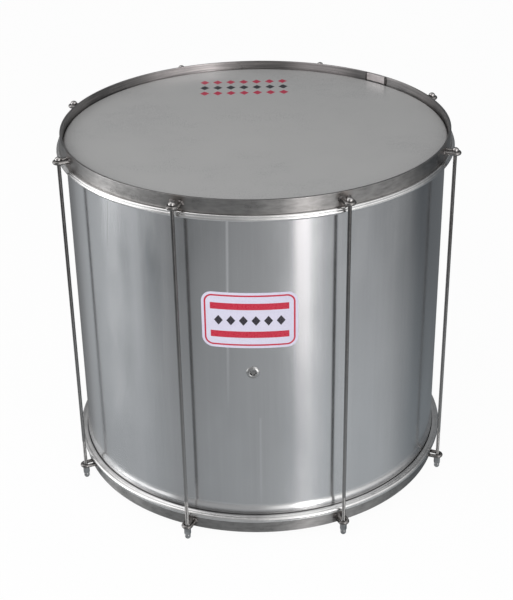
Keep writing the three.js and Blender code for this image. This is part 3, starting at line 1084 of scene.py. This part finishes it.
def buildLoopWelds(seed):
    shaky = random.Random(seed)
    reach = loopShape["weldReach"]
    wire = loopShape["wire"]
    steps = loopShape["weldSteps"]
    profile = []
    for k in range(steps + 1):
        share = k / steps
        profile.append((wire - 0.1 * mm + reach * (1 - share) ** 1.6, reach * 1.25 * share))
    profile += [(wire - 0.5 * mm, reach * 1.25), (wire - 0.5 * mm, 0.0)]
    parts = []
    for side in (-1, 1):
        place = Matrix.Translation((hoopOuter - loopShape["weldSunk"], side * loopBend, 0))
        place = place @ Matrix.Rotation(math.pi / 2, 4, "Y")
        lobes = [shaky.uniform(0, 6.28) for _ in range(loopShape["weldLobes"])]

        def lumpy(radius, height, angle):
            extra = radius - wire
            if extra < 0:
                return radius
            waves = [math.sin((n + 2) * angle + lobe + height * 900) for n, lobe in enumerate(lobes)]
            return wire + extra * (1 + loopShape["weldUneven"] * sum(waves) / len(lobes))

        parts.append(turn(profile, 40, place=place, radiusAt=lumpy))
    return join(parts)


def atLug(shape, number, z):
    place = Matrix.Rotation(lugAngle(number), 4, "Z") @ Matrix.Translation((0, 0, z))
    verts, faces = shape
    return [place @ v for v in verts], faces


loopMesh = buildLoop()
for number in range(1, lugCount + 1):
    for end in ("top", "bottom"):
        node = f"{end}_loop_{number}"
        z = boxCentre(node).z
        piece = makePiece(f"{end}Loop{number}", *atLug(loopMesh, number, z), wireSteel)
        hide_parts(node)
        seed = number + (20 if end == "top" else 60)
        shape = atLug(buildLoopWelds(seed), number, z)
        welds = makePiece(f"{end}LoopWelds{number}", *shape, weldAndShadeFinish, sharpDegrees=70)
print("surdo: loops welded")


# Tension rods
rodShape = {
    "endChamfer": 0.6 * mm,
    "headRadius": 4.5 * mm,
    "headBrim": 0.8 * mm,
    "headNeck": 0.5 * mm,  # radius of the curve under the head
    "shaftRows": (200 * mm, 350 * mm),
    "threadTop": 62 * mm,  # height above the floor where the thread runs out
    "threadFade": 2 * mm,
    "pitch": 0.8 * mm,
    "threadDepth": 0.36 * mm,
    "segments": 28,
}


def buildRod(number):
    low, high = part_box(f"rod_{number}")
    headRadius = rodShape["headRadius"]
    pitch = rodShape["pitch"]
    threadTop = rodShape["threadTop"]

    def cutThread(r, z, angle):
        if z > threadTop or z < low.z + 0.5 * mm or r > rodRadius + 0.01 * mm:
            return r
        turnShare = (z / pitch - angle / (2 * math.pi)) % 1.0
        depth = 1 - abs(2 * turnShare - 1)
        fade = min(1.0, (threadTop - z) / rodShape["threadFade"])
        return r - rodShape["threadDepth"] * depth * fade

    chamfer = rodShape["endChamfer"]
    rows = [(0, low.z), (rodRadius - chamfer, low.z), (rodRadius, low.z + chamfer)]
    z = low.z + 0.8 * mm
    while z < threadTop:
        rows.append((rodRadius, z))
        z += pitch / 4
    neck = rodShape["headNeck"]
    shaftRows = (threadTop + 1 * mm, *rodShape["shaftRows"], rodHeadLow - 1.2 * mm)
    rows += [(rodRadius, z) for z in shaftRows]
    rows += arcPoints(rodRadius + neck, rodHeadLow - neck, neck, 180, 90, 4)
    for inset, rise in ((0.35 * mm, 0.0), (0.08 * mm, 0.1 * mm), (0.0, 0.35 * mm)):
        rows.append((headRadius - inset, rodHeadLow + rise))
    domeLow = rodHeadLow + rodShape["headBrim"]
    for degrees in range(0, 90, 9):
        a = math.radians(degrees)
        rows.append((headRadius * math.cos(a), domeLow + (high.z - domeLow) * math.sin(a)))
    rows.append((0, high.z))
    place = Matrix.Translation(onCircle(rodCircle, lugAngle(number)))
    return turn(rows, rodShape["segments"], closed=False, place=place, radiusAt=cutThread)


for number in range(1, lugCount + 1):
    piece = makePiece(f"rod{number}", *buildRod(number), rodSteel, sharpDegrees=50)
    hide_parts(f"rod_{number}")
print("surdo: rods threaded")


# Washers and nuts
washerShape = {"outer": 5 * mm, "inner": 2.75 * mm, "bevel": 0.2 * mm}
nutShape = {
    "flat": 4 * mm,  # half the width across flats
    "chamfer": 0.5 * mm,
    "dome": 3.8 * mm,
    "domeHeight": 7.6 * mm,
    "waist": 0.28 * mm,
    "tip": 1.2 * mm,
    "bore": 2.75 * mm,
    "boreDepth": 12 * mm,
    "segments": 96,
}


def buildWasher(number):
    low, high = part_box(f"washer_{number}")
    inner, outer = washerShape["inner"], washerShape["outer"]
    corners = [(inner, low.z), (outer, low.z), (outer, high.z), (inner, high.z)]
    place = Matrix.Translation((*boxCentre(f"washer_{number}").xy, 0))
    return turn(softCorners(corners, washerShape["bevel"], 3), 48, place=place)


def buildNut(number):
    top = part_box(f"nut_{number}")[1].z
    flat, dome, rise = nutShape["flat"], nutShape["dome"], nutShape["domeHeight"]
    bore, chamfer, tip = nutShape["bore"], nutShape["chamfer"], nutShape["tip"]
    corner = flat / math.cos(math.pi / 6)

    def hexagon(radius, z, around):
        if z < rise + 0.05 * mm or radius < flat - 0.05 * mm:
            return radius
        inFacet = (around % (math.pi / 3)) - math.pi / 6
        return min(radius, flat / math.cos(inFacet))

    rows = [(0, 0), (tip * 0.6, 0), (tip, 0.04 * mm)]
    start = math.asin(tip / dome)
    centreZ = dome * math.cos(start)
    for k in range(1, 13):
        a = start + (math.pi / 2 - start) * k / 12
        rows.append((dome * math.sin(a), centreZ - dome * math.cos(a)))
    waist = dome - nutShape["waist"]
    rows += [(dome, rise - 1.2 * mm), (dome - 0.05 * mm, rise - 0.8 * mm)]
    rows += [(waist, rise - 0.4 * mm), (waist, rise)]
    rows.append((flat - 0.04 * mm, rise + 0.06 * mm))
    for k in range(5):
        rows.append((flat + (corner - flat) * k / 4, rise + 0.08 * mm + chamfer * k / 4))
    rows += [(corner, rise + 1.2 * mm), (corner, top - 1.2 * mm)]
    for k in range(5):
        rows.append((corner - (corner - flat) * k / 4, top - 0.02 * mm - chamfer * (1 - k / 4)))
    rows += [(flat - 0.2 * mm, top), (bore + 0.4 * mm, top), (bore, top - 0.4 * mm)]
    rows += [(bore, top - nutShape["boreDepth"]), (0, top - nutShape["boreDepth"])]
    place = Matrix.Translation((*boxCentre(f"nut_{number}").xy, 0))
    place = place @ Matrix.Rotation(lugAngle(number), 4, "Z")
    return turn(rows, nutShape["segments"], closed=False, place=place, radiusAt=hexagon)


for number in range(1, lugCount + 1):
    washer = makePiece(f"washer{number}", *buildWasher(number), washerSteel, body=f"washer_body_{number}")
    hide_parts(f"washer_{number}")
    shape = buildNut(number)
    nut = makePiece(f"acornNut{number}", *shape, nutSteel, body=f"nut_body_{number}", sharpDegrees=24)
    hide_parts(f"nut_{number}")
print("surdo: nuts run up")


# Studio
studio = {
    "floor": 0.80,
    "floorShade": 0.79,
    "floorSize": 6.0,
    "floorWhite": 0.96,  # share of plain white where the camera sees the floor
    "worldGrey": 0.55,
    # What polished metal sees: a plain tone and the overhead light, and cards and soft boxes round the drum.
    "room": (0.335, 0.338, 0.341),
    "skyTone": (0.42, 0.42, 0.42),
    "skyFrom": (0, 40),  # height where the overhead light starts and is full
    # Degrees to the right of the front for the middle, half width and soft edge of a card, degrees of height
    # where it fades in and out, and its tone. A single number is a grey, and one below zero takes light away.
    "cards": [
        ("left box", -91, 16, 13, (-17, -10), (20, 40), 0.45),
        ("left foot", -84, 22, 12, (-19, -12), (-8, 3), 1.5),
        ("left core", -92, 4, 7, (-17, -10), (5, 20), 3.2),
        ("left sky", -97, 20, 18, (0, 18), (85, 110), (0.85, 0.84, 0.84)),
        ("left high sky", -118, 34, 20, (30, 50), (85, 110), 0.45),
        ("right box", 30, 15, 20, (-17, -10), (60, 85), (0.65, 0.64, 0.63)),
        ("right foot", 54, 28, 30, (-19, -12), (-8, 3), (0.8, 0.79, 0.78)),
        ("right core", 27, 3, 7, (-17, -10), (5, 20), (4.0, 3.9, 3.85)),
        ("right sky", 68, 24, 28, (12, 30), (85, 110), 0.72),
        ("strip", 25.4, 2.5, 4.5, (-31, -24), (-19, -12), (1.15, 1.05, 1.05)),
        ("strip side", 35, 4, 8, (-34, -29), (-28, -25.5), 0.3),
        ("strip edge", 52, 3, 4, (-36, -31), (-27, -24), 0.09),
        ("strip haze", 29, 4, 10, (-34, -31), (-29, -24), (0.1, 0.095, 0.095)),
        ("left card", -79, 7, 5, (-35, -26), (-24, -18), 0.09),
        ("left card shade", -93, 6, 6, (-28, -24), (-22, -16), -0.19),
        ("left wing", -115, 14, 9, (-31, -27), (-24, -18), 0.085),
        ("left shade", -68, 6, 3, (-31, -24), (-24, -18), -0.25),
        ("left shade side", -56, 12, 14, (-30, -25), (-24, -18), -0.16),
        ("left glow", -104, 22, 34, (-70, -60), (-24, -18), (0.085, 0.1, 0.11)),
        ("left rear", -152, 5, 9, (-70, -60), (10, 40), -0.11),
        ("right glow", 54, 14, 44, (-80, -70), (-24, -18), (0.07, 0.077, 0.082)),
        ("right band", 80, 24, 16, (-34, -30), (-28, -25), 0.05),
        ("right shade", 67, 27, 9, (-27, -24), (-24, -18), -0.20),
        ("right dusk", 100, 12, 20, (-27, -23), (10, 40), -0.06),
        ("table", 50, 80, 60, (-80, -70), (-34, -25), (0.09, 0.105, 0.113)),
        ("right flag", 150, 30, 36, (-90, -80), (60, 80), (-0.2, -0.195, -0.19)),
        ("front flag", -36, 8, 22, (-31, -26), (-24, -18), -0.15),
    ],
    "key": {"power": 8, "size": (0.30, 1.1), "at": (0.80, -1.60, 0.95), "aim": (0, 0, 0.30)},
    "fill": {"power": 18, "size": (1.8, 1.4), "at": (-2.3, -0.6, 1.5), "aim": (0, 0, 0.25)},
    "top": {"power": 14.5, "size": (1.5, 1.5), "at": (-0.8, -1.3, 1.65), "aim": (0, 0, 0.4)},
    # a small lamp stands for the light that the heads let into the drum
    "inside": {"power": 0.4, "size": 0.06},
}


def grey(value):
    return colour(value, value, value)


def isSeen(tree):
    # straight from the camera, or through something clear
    path = tree.nodes.new("ShaderNodeLightPath")
    return calc(tree, "MAXIMUM", path.outputs["Is Camera Ray"], path.outputs["Is Transmission Ray"])


def floorFinish():
    material, tree, shader = newFinish("paleFloor")
    tree.nodes.remove(shader)
    matte = tree.nodes.new("ShaderNodeBsdfDiffuse")
    specks = grain(tree, objectPlace(tree), 40 * mm, 3)
    pale = blendColour(tree, specks, grey(studio["floorShade"]), grey(studio["floor"]))
    tree.links.new(pale, matte.inputs["Color"])
    glow = tree.nodes.new("ShaderNodeEmission")
    glow.inputs["Color"].default_value = grey(1)
    glow.inputs["Strength"].default_value = 1.0
    both = tree.nodes.new("ShaderNodeMixShader")
    tree.links.new(times(tree, isSeen(tree), studio["floorWhite"]), both.inputs[0])
    tree.links.new(matte.outputs[0], both.inputs[1])
    tree.links.new(glow.outputs[0], both.inputs[2])
    tree.links.new(both.outputs[0], tree.nodes["Material Output"].inputs["Surface"])
    return material


def addFloor():
    size = studio["floorSize"]
    mesh = bpy.data.meshes.new("floor")
    corners = [(-size, -size, 0), (size, -size, 0), (size, size, 0), (-size, size, 0)]
    mesh.from_pydata(corners, [], [(0, 1, 2, 3)])
    mesh.materials.append(floorFinish())
    floor = bpy.data.objects.new("floor", mesh)
    floor.visible_glossy = False  # metal sees the cards below the horizon too
    bpy.context.scene.collection.objects.link(floor)


def addLight(name, settings):
    data = bpy.data.lights.new(name, "AREA")
    data.shape = "RECTANGLE"
    data.size, data.size_y = settings["size"]
    data.energy = settings["power"]
    light = bpy.data.objects.new(name, data)
    light.visible_camera = False
    light.visible_glossy = False  # metal sees the cards instead
    light.location = settings["at"]
    aim = Vector(settings["aim"]) - Vector(settings["at"])
    light.rotation_euler = aim.to_track_quat("-Z", "Y").to_euler()
    bpy.context.scene.collection.objects.link(light)


def addInsideLamp():
    data = bpy.data.lights.new("insideGlow", "POINT")
    data.energy = studio["inside"]["power"]
    data.shadow_soft_size = studio["inside"]["size"]
    lamp = bpy.data.objects.new("insideGlow", data)
    lamp.visible_camera = False
    lamp.location = (0, 0, midHeight)
    bpy.context.scene.collection.objects.link(lamp)


def addCard(tree, light, share, tone):
    node = tree.nodes.new("ShaderNodeVectorMath")
    node.operation = "MULTIPLY_ADD"
    tree.links.new(share, node.inputs[0])
    node.inputs[1].default_value = tone if isinstance(tone, tuple) else (tone, tone, tone)
    tree.links.new(light, node.inputs[2])
    return node.outputs[0]


def setWorld():
    world = bpy.data.worlds.new("studio")
    bpy.context.scene.world = world
    world.use_nodes = True
    tree = world.node_tree
    background = tree.nodes["Background"]
    x, y, z = splitPlace(tree, tree.nodes.new("ShaderNodeTexCoord").outputs["Generated"])
    turned = times(tree, fromFront(tree, x, y), degree)
    height = times(tree, calc(tree, "ARCSINE", z), degree)
    sky = spread(tree, height, *studio["skyFrom"], smooth=True)
    light = blendColour(tree, sky, colour(*studio["room"]), colour(*studio["skyTone"]))
    for name, middle, half, soft, low, high, tone in studio["cards"]:
        away = calc(tree, "ABSOLUTE", calc(tree, "WRAP", minus(tree, turned, middle), 180.0, -180.0))
        share = spread(tree, away, half + soft, half, smooth=True)
        share = times(tree, share, spread(tree, height, *low, smooth=True))
        share = times(tree, share, spread(tree, height, *reversed(high), smooth=True))
        light = addCard(tree, light, share, tone)
    path = tree.nodes.new("ShaderNodeLightPath")
    shade = blendColour(tree, path.outputs["Is Glossy Ray"], grey(studio["worldGrey"]), light)
    shade = blendColour(tree, isSeen(tree), shade, grey(1))
    tree.links.new(shade, background.inputs["Color"])
    background.inputs["Strength"].default_value = 1.0


view = {
    "distance": 1.896,
    "elevation": math.radians(28.156),
    "roll": math.radians(0.9457),
    "turn": math.radians(-1.123),
    "target": Vector((-0.00216, 0, -0.02896)),  # from the middle of the drum
    "focalPixels": 1322.3,
    "imageHeight": 600,
}


def addCamera():
    up, roll = view["elevation"], view["roll"]
    forward = Vector((0, math.cos(up), -math.sin(up)))
    right = Vector((1, 0, 0))
    above = Vector((0, math.sin(up), math.cos(up)))
    rolledRight = right * math.cos(roll) - above * math.sin(roll)
    rolledUp = right * math.sin(roll) + above * math.cos(roll)
    place = view["target"] - forward * view["distance"]
    rig = Matrix.Rotation(view["turn"], 3, "Z")
    axes = Matrix((rig @ rolledRight, rig @ rolledUp, rig @ -forward)).transposed()
    data = bpy.data.cameras.new("camera")
    data.sensor_width = 36
    data.lens = view["focalPixels"] / view["imageHeight"] * data.sensor_width
    data.clip_end = 50
    camera = bpy.data.objects.new("camera", data)
    camera.matrix_world = Matrix.Translation(rig @ place + Vector((0, 0, midHeight))) @ axes.to_4x4()
    bpy.context.scene.collection.objects.link(camera)
    bpy.context.scene.camera = camera


addFloor()
for name in ("key", "fill", "top"):
    addLight(name, studio[name])
addInsideLamp()
setWorld()
addCamera()
bpy.context.scene.view_settings.view_transform = "Standard"
print("surdo: studio lit")
